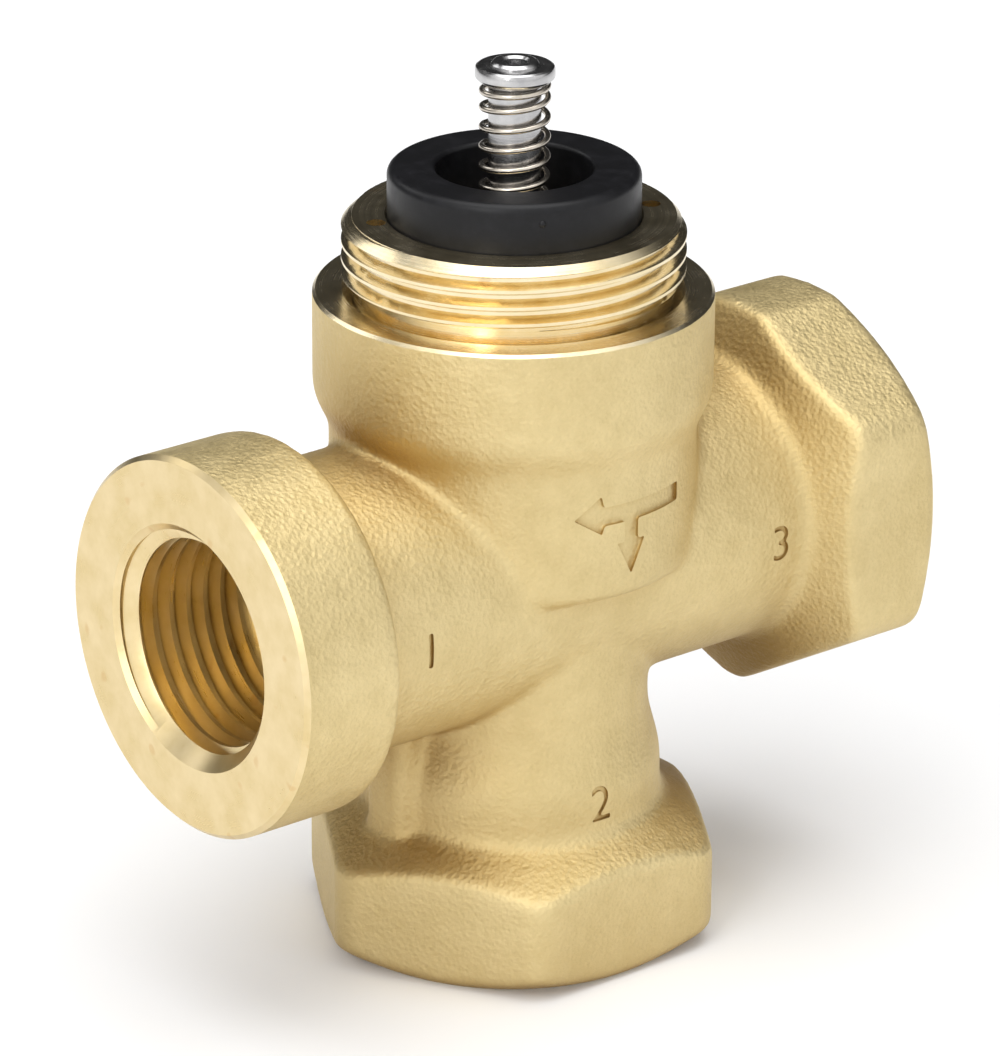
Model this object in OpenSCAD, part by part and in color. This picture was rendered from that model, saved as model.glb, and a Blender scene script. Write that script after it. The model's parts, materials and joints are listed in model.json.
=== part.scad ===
// Three-port heating zone valve, to be driven by a screw-on actuator.
// Z is the spindle axis, up. X runs along the straight way, from port A (-X) to port AB (+X).
// Z = 0 is the face of port B, on which the valve stands. All lengths are in millimetres.

/* [Body casting] */
// Centre line to the end face of port A, and of port AB
half_length = 35.5; // [34:0.5:42]
// Height of the straight way's axis above the face of port B
axis_h = 35; // [34:0.5:42]
// Outer diameter of the barrel that holds the insert
barrel_d = 32.3; // [31.5:0.1:34]
// Height of the barrel's lower edge above the straight way's axis
barrel_edge_h = 0.7; // [0:0.1:2]
// Outer diameter of the collar round the barrel's mouth
collar_d = 35.1; // [34.6:0.1:40]
// Height of the collar's cylindrical side
collar_side_h = 8.4; // [6:0.1:10]
// Height of the collar's top face above the straight way's axis
collar_top_h = 24.9; // [24.5:0.1:28]
// Outer diameter of the straight way's two necks
neck_d = 26.6; // [26:0.1:29]
// Diameter of the lower neck where it leaves the straight way
lower_neck_d = 24.4; // [22:0.1:26]
// Diameter of the lower neck's swell, above the hexagon
lower_swell_d = 26.8; // [24.5:0.1:28]
// Width of the web between port A's neck and the lower hexagon
web_w = 7.2; // [5:0.1:10]
// How far the web reaches from the spindle axis
web_reach = 15.6; // [14:0.1:17]

/* [Port ends] */
// Diameter of port A's round flange
flange_d = 33.8; // [32:0.1:38]
// Thickness of port A's round flange
flange_t = 10.2; // [8:0.1:12]
// Width across the flats of the hexagons at ports AB and B
hex_af = 34; // [33:0.1:36]
// Length of a hexagon's flats, along its port
hex_t = 10.4; // [9:0.1:12]
// Diameter that breaks the hexagons' corners
hex_corner_d = 38.2; // [37:0.1:39]
// Slope of the hexagons' turned chamfers, in degrees
hex_slope = 29; // [20:1:35]
// How far the rounded top of the AB hexagon lies above its axis
hex_crown_h = 17.8; // [17.5:0.1:19]

/* [Ports and water ways] */
// Minor diameter of the ports' internal pipe thread
port_thread_d = 18.631; // [17.5:0.001:20]
// Depth of the ports' internal pipe thread
port_thread_depth = 13; // [11:0.1:14]
// Diameter of the chamfer at a port's mouth
port_mouth_d = 21.9; // [21:0.1:24]
// Bore of the way from port AB, where it enters the middle chamber
way_ab_d = 9.6; // [8:0.1:10]
// Bore of the lower chamber, below the lower seat
lower_chamber_d = 16.4; // [12:0.1:17]
// Thickness of the floor between the middle and the lower chamber
floor_t = 2.6; // [2:0.1:4]
// Step inwards from a port's thread to the cored way behind it
way_step = 1; // [0.5:0.1:2]
// Height and width of one lobe of the kidney way from port A
way_a_d = 6.8; // [5:0.1:7.2]
// Distance between the two lobes of the kidney way
way_a_spread = 6; // [3:0.1:7]
// Climb of the kidney way, in degrees
way_a_climb = 45; // [42:1:48]

/* [Seats and chamber] */
// Bore of the two seats
seat_d = 10.4; // [9:0.1:11]
// Width of a seat's rim
seat_rim_w = 1; // [0.8:0.1:1.2]
// Bore of the middle chamber
chamber_d = 16; // [15.6:0.1:16.4]
// Depth of the chamber's floor below the lower seat
chamber_floor_drop = 2.25; // [1.5:0.05:3]
// Bore that takes the cage's seal
cage_bore_d = 17.7; // [17.4:0.1:18]
// Depth of the cage's bore
cage_bore_depth = 2.8; // [2.6:0.1:3.4]
// Bore of the gallery round the cage
gallery_d = 24.1; // [23:0.1:25]
// Height of the cage from its shoulder to its top
cage_h = 12.6; // [11:0.1:13.4]
// Bore of the cage above its seat
cage_bore_in_d = 12.8; // [11.6:0.1:13.4]
// Thickness of the cage's top rim
cage_rim_t = 2.2; // [1.5:0.1:3]
// How far the cage's seat stands down into the chamber
cage_nose = 0.6; // [0.4:0.1:1.2]
// Width of the cage's windows, in degrees
cage_window_a = 58; // [30:1:70]
// Thickness of the seal rings' section
seal_cord_d = 1.5; // [1.3:0.05:1.6]

/* [Bonnet] */
// Diameter of the actuator thread
actuator_thread_d = 30; // [29:0.1:31]
// Height of the bonnet's top face above the collar
bonnet_stand_h = 6.7; // [5.5:0.1:9]
// Diameter of the thread by which the bonnet screws into the collar
body_thread_d = 28; // [27:0.1:28.8]
// Length of that thread
body_thread_l = 6.5; // [5:0.1:7]
// Height of the relief groove below the actuator thread
relief_h = 0.9; // [0.5:0.1:1.5]
// Chamfer round the bonnet's top edge
bonnet_chamfer = 0.9; // [0.4:0.1:1.4]
// Radius of the circle on which the two pin-spanner holes lie
spanner_circle_r = 12.2; // [12.1:0.05:12.8]
// Diameter of a pin-spanner hole
spanner_hole_d = 1.7; // [1:0.1:1.8]
// Depth of a pin-spanner hole
spanner_hole_depth = 2.5; // [1:0.1:3]
// Turn of the pin-spanner holes from the X axis, in degrees
spanner_turn = -26; // [-90:1:90]

/* [Guide ring] */
// Outer diameter of the plastic guide ring
guide_ring_d = 22.06; // [21:0.02:22.4]
// Bore of the guide ring
guide_ring_bore_d = 13.7; // [13:0.1:15]
// How far the guide ring stands above the bonnet
guide_ring_stand = 4.35; // [3:0.05:6]
// How far the guide ring sits down into the bonnet
guide_ring_depth = 3.5; // [3:0.1:4]
// Rounding of the guide ring's top edge
guide_ring_round = 0.8; // [0.3:0.05:1.2]

/* [Spindle and gland] */
// Diameter of the spindle
spindle_d = 4.6; // [4.4:0.05:5]
// Travel of the spindle, from port A's seat to port B's seat
stroke = 2.5; // [1.5:0.1:2.8]
// Diameter of the spindle's threaded foot
spindle_foot_d = 4; // [3:0.1:4.2]
// Diameter of the spindle's neck through the cap
spindle_neck_d = 3; // [2.4:0.1:3.4]
// Diameter of the spindle's riveted tip
spindle_tip_d = 4.2; // [3.8:0.1:4.8]
// Height of the spindle's riveted tip
spindle_tip_h = 0.4; // [0.3:0.05:0.8]
// Diameter of the cap
cap_d = 6.94; // [6.6:0.02:8]
// Thickness of the cap
cap_t = 1.4; // [1:0.1:2]
// Height of the cap's top face above the guide ring
cap_rise = 9.1; // [8:0.1:12]
// Width across the flats of the gland nut's hexagon
gland_af = 10; // [9.4:0.1:10.6]
// Diameter of the gland nut's thread
gland_thread_d = 10; // [9.4:0.1:10.4]
// Length of the gland nut's thread
gland_thread_l = 3; // [2.4:0.1:3.6]
// Height of the gland nut's head
gland_head_h = 1.5; // [1.2:0.1:2.5]
// Depth of the spring's pocket in the gland nut
spring_pocket_depth = 3.1; // [2:0.1:3.4]
// Thickness of the spacer between the two stem seals
seal_spacer_t = 1; // [0.6:0.1:1.6]
// Thickness of the gland washer
gland_washer_t = 0.6; // [0.4:0.1:1]
// Outer diameter of the guide bush
bush_d = 7; // [6.6:0.1:7.4]

/* [Return spring] */
// Radial clearance between the spindle and the spring round it
spring_clearance = 0.05; // [0.05:0.01:0.15]
// Diameter of the spring's wire
spring_wire_d = 0.56; // [0.45:0.01:0.6]
// Number of curls
spring_curls = 10; // [8:1:11]
// Thickness of the washer under the spring
spring_seat_t = 0.4; // [0.3:0.05:0.8]

/* [Plug] */
// Diameter of the plug's carrier
plug_d = 13.4; // [12.8:0.1:14]
// Thickness of the carrier's disc
plug_disc_t = 1.6; // [1.2:0.1:2]
// Thickness of one of the plug's two rubber faces
plug_face_t = 1.3; // [1:0.1:1.6]
// Diameter of the carrier's two hubs
plug_hub_d = 7.2; // [6.4:0.1:8]
// Diameter of the washers that hold the rubber faces
plug_washer_d = 9.4; // [8.6:0.1:9.8]
// Thickness of those washers
plug_washer_t = 0.8; // [0.5:0.1:1.2]
// Width across the flats of the plug's nut
plug_nut_af = 7; // [6.5:0.1:7.6]
// Thickness of the plug's nut
plug_nut_t = 2.4; // [1.8:0.1:3]

/* [Fits] */
// Radial clearance of a part that slides
running_gap = 0.05; // [0.02:0.01:0.1]
// Radial clearance of a part that is screwed or pushed in
seating_gap = 0.05; // [0.02:0.01:0.1]
// Gap left between a rubber face and the seat that it meets
seal_gap = 0.1; // [0.05:0.01:0.2]

/* [Hidden] */
$fn = 96;
eps = 0.01;              // overlap of a cutter past the face that it opens
seal_slack = 0.05;       // room beside and under a seal ring in its groove
seal_touch = 0.01;       // how near a seal ring comes to the bore round it
arc_steps = 8;           // straight steps in a quarter of a rounded profile

// Heights of the plug and its seats, centred on the straight way
plug_t = plug_disc_t + 2 * plug_face_t;
plug_hub_t = plug_t - 0.4;                   // hubs end just short of the rubber faces
seats_apart = plug_t + stroke + 2 * seal_gap;
upper_seat_z = axis_h + seats_apart / 2;
lower_seat_z = axis_h - seats_apart / 2;
chamber_floor_z = lower_seat_z - chamber_floor_drop;
plug_top_z = upper_seat_z - seal_gap;
plug_bottom_z = plug_top_z - plug_t;
plug_disc_z = plug_bottom_z + plug_face_t;

// Heights of the cage and of the bores that hold it
cage_shoulder_z = upper_seat_z + cage_nose;
gallery_z = cage_shoulder_z + cage_bore_depth;
cage_top_z = cage_shoulder_z + cage_h;
cage_land_t = (cage_bore_depth - seal_cord_d - 2 * seal_slack) / 2;
cage_groove_z = cage_shoulder_z + cage_land_t;
cage_d = cage_bore_d - 2 * seating_gap;
cage_window_z = gallery_z + 0.4;

// Heights of the collar and the bonnet
collar_z = axis_h + collar_top_h;
bonnet_shoulder_z = collar_z - body_thread_l;
bonnet_top_z = collar_z + bonnet_stand_h;
bonnet_spigot_r = gallery_d / 2 - seating_gap;
bonnet_thread_z = collar_z + relief_h;
relief_r = body_thread_d / 2 - 0.1;
guide_ring_z = bonnet_top_z - guide_ring_depth;
guide_ring_top_z = bonnet_top_z + guide_ring_stand;

// Heights inside the gland, from the nut's seat down
gland_nut_z = guide_ring_z - gland_thread_l;
stem_seal_r = (spindle_d + seal_cord_d) / 2 + running_gap;
stem_upper_z = gland_nut_z - seal_cord_d;
spacer_z = stem_upper_z - seal_spacer_t;
stem_lower_z = spacer_z - seal_cord_d;
gland_washer_z = stem_lower_z - gland_washer_t;
gland_bore_r = stem_seal_r + seal_cord_d / 2 + seating_gap;
gland_top_z = guide_ring_z + gland_head_h;
spring_floor_z = gland_top_z - spring_pocket_depth;
spring_sides = 6;
rings_per_curl = 8;
// the wire is straight between its rings, so it comes nearest to the spindle halfway
spring_mid_r = (spindle_d / 2 + spring_clearance + spring_wire_d / 2) / cos(180 / rings_per_curl);
spring_pocket_r = spring_mid_r + spring_wire_d / 2 + 0.35;
stem_hole_r = spindle_d / 2 + running_gap;

// Heights of the cap and the spring
cap_top_z = guide_ring_top_z + cap_rise;
cap_z = cap_top_z - cap_t;
spring_bottom_z = spring_floor_z + spring_seat_t;
spring_h = cap_z - spring_bottom_z;

// Points of an arc of radius r about [x, y], from angle a to angle b
function arc(x, y, r, a, b, n = arc_steps) =
    [for (i = [0:n]) [x + r * cos(a + (b - a) * i / n), y + r * sin(a + (b - a) * i / n)]];

// Straight solid of revolution between two heights
module rod(r, z0, z1) {
    translate([0, 0, z0])
        cylinder(r = r, h = z1 - z0);
}

// Ring between two radii and two heights
module ring(r_out, r_in, z0, z1) {
    difference() {
        rod(r_out, z0, z1);
        rod(r_in, z0 - 1, z1 + 1);
    }
}

// Round seal of circular section, resting at height z
module o_ring(r_mid, z) {
    translate([0, 0, z + seal_cord_d / 2])
        rotate_extrude()
            translate([r_mid, 0])
                circle(d = seal_cord_d, $fn = 48);
}

// Hexagonal prism with two of its flats facing +Y and -Y
module hexagon(af, h) {
    cylinder(d = af / cos(30), h = h, $fn = 6);
}

// Profile of a hexagonal port end, as [radius, distance from the centre]
module hex_end_profile(reach, root_r) {
    flat_r = hex_af / 2;
    corner_r = hex_corner_d / 2;
    slope = tan(hex_slope);
    back = reach - hex_t;
    root_fillet = 1.6;
    edge_break = 0.5;
    cone_r = root_r + root_fillet * (1 - sin(hex_slope));
    cone_back = back - (flat_r - cone_r) * slope;
    polygon(concat(
        [[0, 0], [root_r, 0]],
        arc(root_r + root_fillet, cone_back - root_fillet * cos(hex_slope), root_fillet,
            180, 90 + hex_slope),
        [
            [corner_r - edge_break, back + (corner_r - edge_break - flat_r) * slope],
            [corner_r, back + (corner_r - flat_r) * slope + edge_break],
            [corner_r, reach - (corner_r - flat_r) * slope],
            [flat_r, reach],
            [0, reach]
        ]
    ));
}

// Hexagonal port end along +Z with its neck, from the centre out
module hex_end(reach, root_r) {
    intersection() {
        hexagon(hex_af, reach);
        rotate_extrude()
            hex_end_profile(reach, root_r);
    }
}

// Port AB: neck and hexagon along +X, the hexagon's top corner rounded off
module port_ab_end() {
    crown_r = 22;
    intersection() {
        rotate([0, 90, 0])
            hex_end(half_length, neck_d / 2);
        translate([0, 0, hex_crown_h - crown_r])
            rotate([0, 90, 0])
                cylinder(r = crown_r, h = half_length);
    }
}

// Port A: neck and round flange along -X
module port_a_end() {
    r = flange_d / 2;
    neck_r = neck_d / 2;
    edge = 0.5;
    back = half_length - flange_t;
    back_fillet = 1.2;
    rotate([0, -90, 0])
        rotate_extrude()
            polygon(concat(
                [[0, 0], [neck_r, 0]],
                arc(neck_r + back_fillet, back - back_fillet, back_fillet, 180, 90),
                [[r - edge, back], [r, back + edge], [r, half_length - edge],
                 [r - edge, half_length], [0, half_length]]
            ));
}

// Port B: lower neck with its swell, and hexagon along -Z
module port_b_end() {
    waist_drop = 13;
    swell_drop = 19.5;
    swell_r = lower_swell_d / 2;
    waist_r = lower_neck_d / 2;
    translate([0, 0, axis_h])
        mirror([0, 0, 1])
            union() {
                intersection() {
                    hexagon(hex_af, axis_h);
                    rotate_extrude()
                        intersection() {
                            hex_end_profile(axis_h, swell_r);
                            translate([0, swell_drop])
                                square([hex_af, axis_h]);
                        }
                }
                rotate_extrude()
                    polygon(concat(
                        [[0, 0], [waist_r, 0], [waist_r, waist_drop]],
                        [for (i = [1:arc_steps])
                            [waist_r + (swell_r - waist_r) * (1 - cos(180 * i / arc_steps)) / 2,
                             waist_drop + (swell_drop - waist_drop) * i / arc_steps]],
                        [[swell_r, swell_drop + 1], [0, swell_drop + 1]]
                    ));
            }
}

// Barrel with its rounded lower edge, swelling into the collar
module barrel_form() {
    r = barrel_d / 2;
    collar_r = collar_d / 2;
    low_round = 1.3;
    edge = 0.35;
    low_z = axis_h + barrel_edge_h;
    side_z = collar_z - collar_side_h;
    step = collar_r - r;
    taper_h = 4.2;
    rotate_extrude()
        polygon(concat(
            [[0, low_z]],
            arc(r - low_round, low_z + low_round, low_round, -90, 0),
            [for (i = [0:arc_steps])
                [r + step * (1 - cos(180 * i / arc_steps)) / 2,
                 side_z - taper_h + taper_h * i / arc_steps]],
            [[collar_r, collar_z - edge], [collar_r - edge, collar_z], [0, collar_z]]
        ));
}

// Web between port A's neck and the lower hexagon, with a rounded edge
module web_form() {
    round_r = web_w / 3;
    foot_z = hex_t / 2;
    translate([0, 0, foot_z])
        linear_extrude(axis_h - foot_z)
            union() {
                translate([-web_reach + round_r, -web_w / 2])
                    square([web_reach - round_r, web_w]);
                translate([-web_reach, -web_w / 2 + round_r])
                    square([web_reach, web_w - 2 * round_r]);
                for (side = [-1, 1])
                    translate([-web_reach + round_r, side * (web_w / 2 - round_r)])
                        circle(r = round_r, $fn = 32);
            }
}

// Threaded port along +Z, its mouth at the given distance, with a drill point behind it
module port_bore(reach) {
    r = port_thread_d / 2;
    mouth_r = port_mouth_d / 2;
    translate([0, 0, reach - port_thread_depth])
        cylinder(r = r, h = port_thread_depth + 1);
    translate([0, 0, reach - (mouth_r - r)])
        cylinder(r1 = r, r2 = mouth_r + eps, h = mouth_r - r + eps);
}

// Way A: a kidney-shaped way that climbs from port A into the gallery
module way_a() {
    r = way_a_d / 2;
    half = way_a_spread / 2;
    // its lower side enters the gallery this far from the spindle axis
    entry_r = cage_bore_d / 2 + 1.4;
    rise = 3.2;
    run = half_length - port_thread_depth - entry_r + 1;
    length = run / cos(way_a_climb) + rise;
    translate([-entry_r, 0, gallery_z])
        rotate([0, -90 - way_a_climb, 0])
            translate([r, 0, -rise])
                union() {
                    for (side = [-1, 1])
                        translate([0, side * half, 0])
                            cylinder(r = r, h = length, $fn = 64);
                    translate([-r, -half, 0])
                        cube([2 * r, 2 * half, length]);
                }
}

// Lower chamber: from port B up to the lower seat, domed under the floor
module lower_chamber() {
    seat_r = seat_d / 2;
    r = lower_chamber_d / 2;
    roof_z = chamber_floor_z - floor_t;
    shoulder_z = roof_z - (r - seat_r);
    rotate_extrude()
        polygon([
            [0, port_thread_depth - 1],
            [port_thread_d / 2 - way_step, port_thread_depth - 1],
            [port_thread_d / 2 - way_step, port_thread_depth + way_step],
            [r, port_thread_depth + 2 * way_step],
            [r, shoulder_z],
            [seat_r, roof_z],
            [seat_r, lower_seat_z + 1],
            [0, lower_seat_z + 1]
        ]);
}

// Forged brass body: three ports, barrel, collar and the cored ways inside
module valve_body() {
    mouth = 0.9;
    port_root = half_length - port_thread_depth;
    way_root_r = port_thread_d / 2 - way_step;
    way_ab_start = seat_d / 2 + seat_rim_w + 0.6;
    way_ab_taper = 11;
    way_a_taper = 3;
    color([0.80, 0.66, 0.38])
        difference() {
            union() {
                barrel_form();
                translate([0, 0, axis_h])
                    port_a_end();
                translate([0, 0, axis_h])
                    port_ab_end();
                port_b_end();
                web_form();
            }
            // ports
            translate([0, 0, axis_h])
                rotate([0, -90, 0])
                    port_bore(half_length);
            translate([0, 0, axis_h])
                rotate([0, 90, 0])
                    port_bore(half_length);
            translate([0, 0, axis_h])
                mirror([0, 0, 1])
                    port_bore(axis_h);
            // socket for the bonnet, gallery, cage bore and middle chamber
            rod(body_thread_d / 2 + seating_gap, bonnet_shoulder_z, collar_z + 1);
            translate([0, 0, collar_z - mouth])
                cylinder(r1 = body_thread_d / 2 + seating_gap,
                         r2 = body_thread_d / 2 + seating_gap + mouth + eps, h = mouth + eps);
            rod(gallery_d / 2, gallery_z, collar_z);
            rod(cage_bore_d / 2, cage_shoulder_z, gallery_z + eps);
            rod(chamber_d / 2, lower_seat_z, cage_shoulder_z + eps);
            ring(chamber_d / 2, seat_d / 2 + seat_rim_w, chamber_floor_z, lower_seat_z + eps);
            // ways to the ports
            lower_chamber();
            translate([way_ab_start, 0, (chamber_floor_z + cage_shoulder_z) / 2])
                rotate([0, 90, 0])
                    cylinder(d = way_ab_d, h = port_root - way_ab_start);
            translate([port_root + eps, 0, axis_h])
                rotate([0, -90, 0])
                    cylinder(r1 = way_root_r, r2 = way_ab_d / 2, h = way_ab_taper);
            translate([-port_root - eps, 0, axis_h])
                rotate([0, 90, 0])
                    cylinder(r1 = way_root_r, r2 = way_a_d / 2, h = way_a_taper);
            way_a();
        }
}

// Brass cage with the upper seat, held down by the bonnet
module seat_cage() {
    windows = 4;
    wall_out = cage_d / 2;
    wall_in = cage_bore_in_d / 2;
    rim_r = gallery_d / 2 - seating_gap;
    rim_z = cage_top_z - cage_rim_t;
    nose_r = chamber_d / 2 - seating_gap;
    color([0.83, 0.69, 0.40])
        difference() {
            union() {
                rod(nose_r, upper_seat_z, cage_shoulder_z + eps);
                rod(wall_out, cage_shoulder_z, cage_top_z);
                rod(rim_r, rim_z, cage_top_z);
            }
            // relief round the seat's rim
            ring(nose_r + 1, seat_d / 2 + seat_rim_w, upper_seat_z - 1, upper_seat_z + cage_nose / 2);
            rod(seat_d / 2, upper_seat_z - 1, gallery_z);
            rod(wall_in, gallery_z - 1, cage_top_z + 1);
            ring(wall_out + 1, cage_bore_d / 2 - seal_cord_d - seal_slack, cage_groove_z,
                 cage_groove_z + seal_cord_d + 2 * seal_slack);
            for (i = [0:windows - 1])
                rotate([0, 0, i * 360 / windows])
                    window(cage_window_z, rim_z, wall_out + 1);
        }
}

// Wedge that cuts one window of the cage, facing -X before it is turned
module window(z0, z1, reach) {
    half = cage_window_a / 2;
    translate([0, 0, z0])
        linear_extrude(z1 - z0)
            polygon([[0, 0], [-reach, reach * tan(half)], [-reach, -reach * tan(half)]]);
}

// Rubber ring that seals the cage between the two chambers
module cage_o_ring() {
    color([0.08, 0.08, 0.08])
        o_ring((cage_bore_d - seal_cord_d) / 2 - seal_touch, cage_groove_z + seal_slack);
}

// Height of the seal ring's groove on the bonnet's spigot
bonnet_groove_z = cage_top_z + (bonnet_shoulder_z - cage_top_z - seal_cord_d) / 2;

// Machined brass bonnet: actuator thread above, body thread and spigot below
module bonnet() {
    thread_r = actuator_thread_d / 2;
    low_edge = 0.5;
    color([0.86, 0.70, 0.36])
        difference() {
            rotate_extrude()
                polygon([
                    [0, cage_top_z],
                    [bonnet_spigot_r, cage_top_z],
                    [bonnet_spigot_r, bonnet_shoulder_z],
                    [body_thread_d / 2, bonnet_shoulder_z],
                    [body_thread_d / 2, collar_z - low_edge],
                    [relief_r, collar_z],
                    [relief_r, bonnet_thread_z],
                    [thread_r - low_edge, bonnet_thread_z],
                    [thread_r, bonnet_thread_z + low_edge],
                    [thread_r, bonnet_top_z - bonnet_chamfer],
                    [thread_r - bonnet_chamfer, bonnet_top_z],
                    [0, bonnet_top_z]
                ]);
            // groove for the seal ring on the spigot
            ring(bonnet_spigot_r + 1, gallery_d / 2 - seal_cord_d - seal_slack,
                 bonnet_groove_z - seal_slack, bonnet_groove_z + seal_cord_d + seal_slack);
            // recess for the guide ring, gland bores, and the bush's bore
            rod(guide_ring_d / 2 + seating_gap, guide_ring_z, bonnet_top_z + 1);
            rod(gland_thread_d / 2 + seating_gap, gland_nut_z, guide_ring_z + eps);
            rod(gland_bore_r, gland_washer_z, gland_nut_z + eps);
            rod(bush_d / 2 + seating_gap, cage_top_z - 1, gland_washer_z + eps);
            for (side = [0, 180])
                rotate([0, 0, spanner_turn + side])
                    translate([spanner_circle_r, 0, bonnet_top_z - spanner_hole_depth])
                        cylinder(d = spanner_hole_d, h = spanner_hole_depth + 1);
        }
}

// Rubber ring on the bonnet's spigot
module bonnet_o_ring() {
    color([0.08, 0.08, 0.08])
        o_ring((gallery_d - seal_cord_d) / 2 - seal_touch, bonnet_groove_z);
}

// Guide bush for the spindle, pushed into the bonnet's foot
module guide_bush() {
    color([0.90, 0.90, 0.86])
        ring(bush_d / 2, stem_hole_r, cage_top_z, gland_washer_z);
}

// Washer on which the stem seals rest
module gland_washer() {
    color([0.75, 0.75, 0.76])
        ring(gland_bore_r - seating_gap, stem_hole_r, gland_washer_z, stem_lower_z);
}

// Lower rubber ring on the spindle
module stem_o_ring_lower() {
    color([0.08, 0.08, 0.08])
        o_ring(stem_seal_r, stem_lower_z);
}

// Spacer between the two stem seals
module o_ring_spacer() {
    color([0.90, 0.90, 0.86])
        ring(gland_bore_r - seating_gap, stem_hole_r, spacer_z, stem_upper_z);
}

// Upper rubber ring on the spindle
module stem_o_ring_upper() {
    color([0.08, 0.08, 0.08])
        o_ring(stem_seal_r, stem_upper_z);
}

// Gland nut, with the spring's pocket in its head
module gland_nut() {
    color([0.83, 0.69, 0.40])
        difference() {
            union() {
                rod(gland_thread_d / 2, gland_nut_z, guide_ring_z);
                translate([0, 0, guide_ring_z])
                    hexagon(gland_af, gland_head_h);
            }
            rod(stem_hole_r, gland_nut_z - 1, gland_top_z);
            rod(spring_pocket_r, spring_floor_z, gland_top_z + 1);
        }
}

// Black plastic ring that centres the actuator
module guide_ring() {
    r = guide_ring_d / 2;
    bore_r = guide_ring_bore_d / 2;
    rd = guide_ring_round;
    in_rd = rd / 2;
    color([0.07, 0.07, 0.09])
        rotate_extrude()
            polygon(concat(
                [[bore_r, guide_ring_z], [r, guide_ring_z]],
                arc(r - rd, guide_ring_top_z - rd, rd, 0, 90),
                arc(bore_r + in_rd, guide_ring_top_z - in_rd, in_rd, 90, 180)
            ));
}

// Washer under the return spring
module spring_seat() {
    color([0.72, 0.72, 0.73])
        ring(spring_pocket_r - seating_gap, stem_hole_r, spring_floor_z, spring_bottom_z);
}

// Return spring: one wire, with a closed curl at each end
spring_rings = spring_curls * rings_per_curl;
// Rise of the closed end curls, and of the free curls between them
end_pitch = spring_wire_d + 0.45;
free_pitch = (spring_h - spring_wire_d - 2 * end_pitch) / (spring_curls - 2);

// Height of the wire's centre after t curls
function spring_z(t) = spring_bottom_z + spring_wire_d / 2
    + min(t, 1) * end_pitch
    + max(0, min(t - 1, spring_curls - 2)) * free_pitch
    + max(0, t - spring_curls + 1) * end_pitch;

// One point on the wire's surface: ring i, side s
function spring_point(i, s) =
    let (
        t = i / rings_per_curl,
        turn = 360 * t,
        side = 360 * s / spring_sides,
        r = spring_mid_r + spring_wire_d / 2 * cos(side)
    )
    [r * cos(turn), r * sin(turn), spring_z(t) + spring_wire_d / 2 * sin(side)];

// Least gap between neighbouring curls, measured on points a whole curl apart
curl_gap = min([for (i = [0:spring_rings - rings_per_curl])
    spring_z((i + rings_per_curl) / rings_per_curl) - spring_z(i / rings_per_curl)])
    - spring_wire_d;
echo(least_gap_between_curls = curl_gap);

module return_spring() {
    n = spring_sides;
    points = [for (i = [0:spring_rings], s = [0:n - 1]) spring_point(i, s)];
    tube = [for (i = [0:spring_rings - 1], s = [0:n - 1], half = [0, 1])
        let (a = i * n + s, b = i * n + (s + 1) % n)
        half == 0 ? [a, b, b + n] : [a, b + n, a + n]];
    start_cap = [for (s = [1:n - 2]) [0, s + 1, s]];
    last = spring_rings * n;
    end_cap = [for (s = [1:n - 2]) [last, last + s, last + s + 1]];
    color([0.72, 0.68, 0.62])
        polyhedron(points = points, faces = concat(tube, start_cap, end_cap), convexity = 10);
}

// Stainless spindle: guided stem, neck with riveted tip above, threaded foot below
plug_foot_z = plug_bottom_z - plug_washer_t - plug_nut_t;

module spindle() {
    foot_end = 0.8;
    tip_bevel = 0.2;
    r = spindle_d / 2;
    foot_r = spindle_foot_d / 2;
    neck_r = spindle_neck_d / 2;
    tip_r = spindle_tip_d / 2;
    color([0.75, 0.75, 0.76])
        rotate_extrude()
            polygon([
                [0, plug_foot_z - foot_end],
                [foot_r - foot_end / 2, plug_foot_z - foot_end],
                [foot_r, plug_foot_z],
                [foot_r, plug_top_z + plug_washer_t],
                [r, plug_top_z + plug_washer_t],
                [r, cap_z],
                [neck_r, cap_z],
                [neck_r, cap_top_z],
                [tip_r, cap_top_z],
                [tip_r - tip_bevel, cap_top_z + spindle_tip_h],
                [0, cap_top_z + spindle_tip_h]
            ]);
}

// Cap that the actuator presses on, riveted to the spindle
module spindle_cap() {
    r = cap_d / 2;
    top_bevel = 0.25;
    low_bevel = 0.4;
    color([0.80, 0.80, 0.81])
        difference() {
            rotate_extrude()
                polygon([
                    [0, cap_z],
                    [r - low_bevel, cap_z],
                    [r, cap_z + low_bevel],
                    [r, cap_top_z - top_bevel],
                    [r - top_bevel, cap_top_z],
                    [0, cap_top_z]
                ]);
            rod(spindle_neck_d / 2 + seating_gap, cap_z - 1, cap_top_z + 1);
        }
}

// Washer that holds a rubber face, from height z
module plug_washer(z) {
    color([0.75, 0.75, 0.76])
        ring(plug_washer_d / 2, spindle_foot_d / 2 + seating_gap, z, z + plug_washer_t);
}

// Rubber ring that meets a seat, from height z
module plug_seal(z) {
    color([0.10, 0.10, 0.10])
        ring(plug_d / 2 - 0.1, plug_hub_d / 2 + seating_gap, z, z + plug_face_t);
}

module plug_washer_upper() {
    plug_washer(plug_top_z);
}

module plug_seal_upper() {
    plug_seal(plug_top_z - plug_face_t);
}

// Brass carrier of the two rubber faces
module plug_carrier() {
    hub_z = plug_bottom_z + (plug_t - plug_hub_t) / 2;
    color([0.83, 0.69, 0.40])
        difference() {
            union() {
                rod(plug_d / 2, plug_disc_z, plug_disc_z + plug_disc_t);
                rod(plug_hub_d / 2, hub_z, hub_z + plug_hub_t);
            }
            rod(spindle_foot_d / 2 + seating_gap, hub_z - 1, hub_z + plug_hub_t + 1);
        }
}

module plug_seal_lower() {
    plug_seal(plug_bottom_z);
}

module plug_washer_lower() {
    plug_washer(plug_bottom_z - plug_washer_t);
}

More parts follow.
